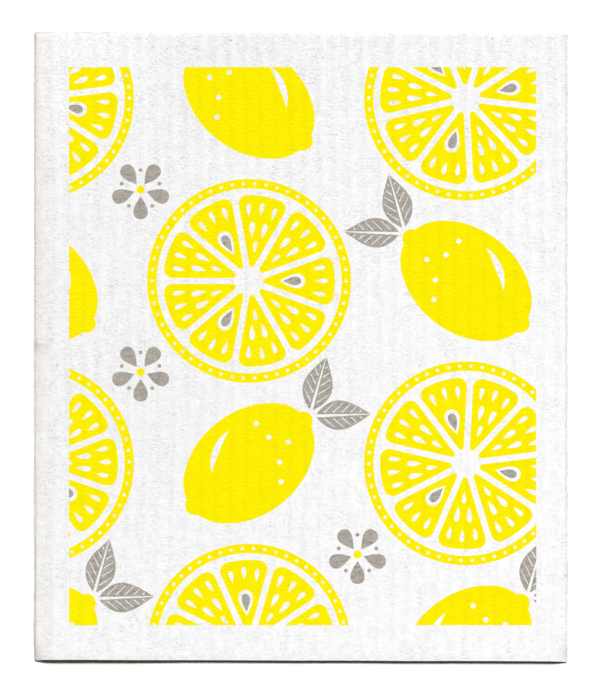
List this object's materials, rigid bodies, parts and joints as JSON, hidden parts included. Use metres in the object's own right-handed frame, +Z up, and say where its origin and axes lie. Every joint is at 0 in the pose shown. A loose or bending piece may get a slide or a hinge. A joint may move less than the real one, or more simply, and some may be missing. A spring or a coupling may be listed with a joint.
{
  "type": "sponge cloth",
  "caption": "Flat ribbed sponge cloth for dishes and worktops, printed on its top with lemon slices, whole lemons and leaves in yellow and grey.",
  "frame": {"origin": "centre of the underside, on the surface that the cloth lies on", "axes": "+X across the ribs, +Y along the ribs towards the top of the print, +Z up out of the printed face"},
  "size_m": [0.17, 0.2, 0.0021],
  "materials": {
    "printed_cloth": "matt white cellulose and cotton with fine pores, screen printed in bright yellow and warm grey"
  },
  "bodies": {
    "root": {"sponge_cloth": "printed_cloth"}
  },
  "joints": []
}
